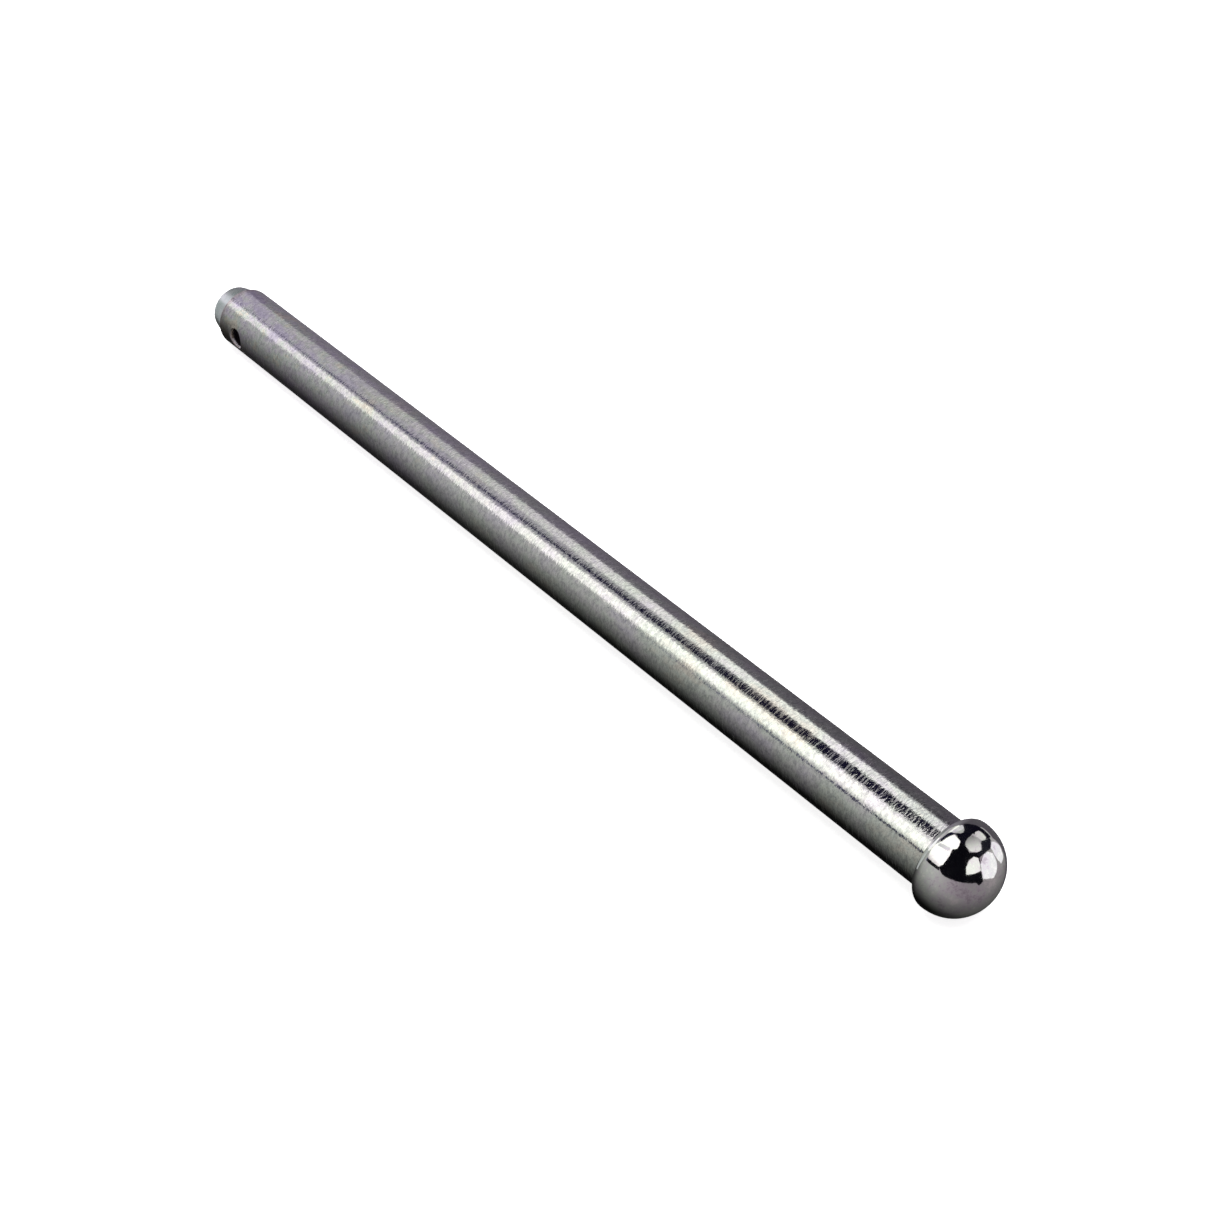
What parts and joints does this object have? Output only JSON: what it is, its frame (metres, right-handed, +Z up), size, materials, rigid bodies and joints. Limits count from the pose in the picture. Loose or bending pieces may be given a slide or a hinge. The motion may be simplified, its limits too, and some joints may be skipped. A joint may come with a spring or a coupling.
{
  "type": "hitch pin",
  "caption": "Straight steel hitch pin with a polished domed head, a reduced nose and a cross hole for a retaining clip.",
  "frame": {"origin": "on the pin's axis, in the plane where the head closes on the shank", "axes": "+X along the shank from the head to the nose, +Y along the clip hole, +Z up"},
  "size_m": [0.2242, 0.0166, 0.0166],
  "materials": {
    "turned_steel": "turned, clear zinc plated, semi-bright",
    "polished_steel": "mirror polished and plated"
  },
  "bodies": {
    "root": {"shank": "turned_steel", "head": "polished_steel"}
  },
  "joints": []
}
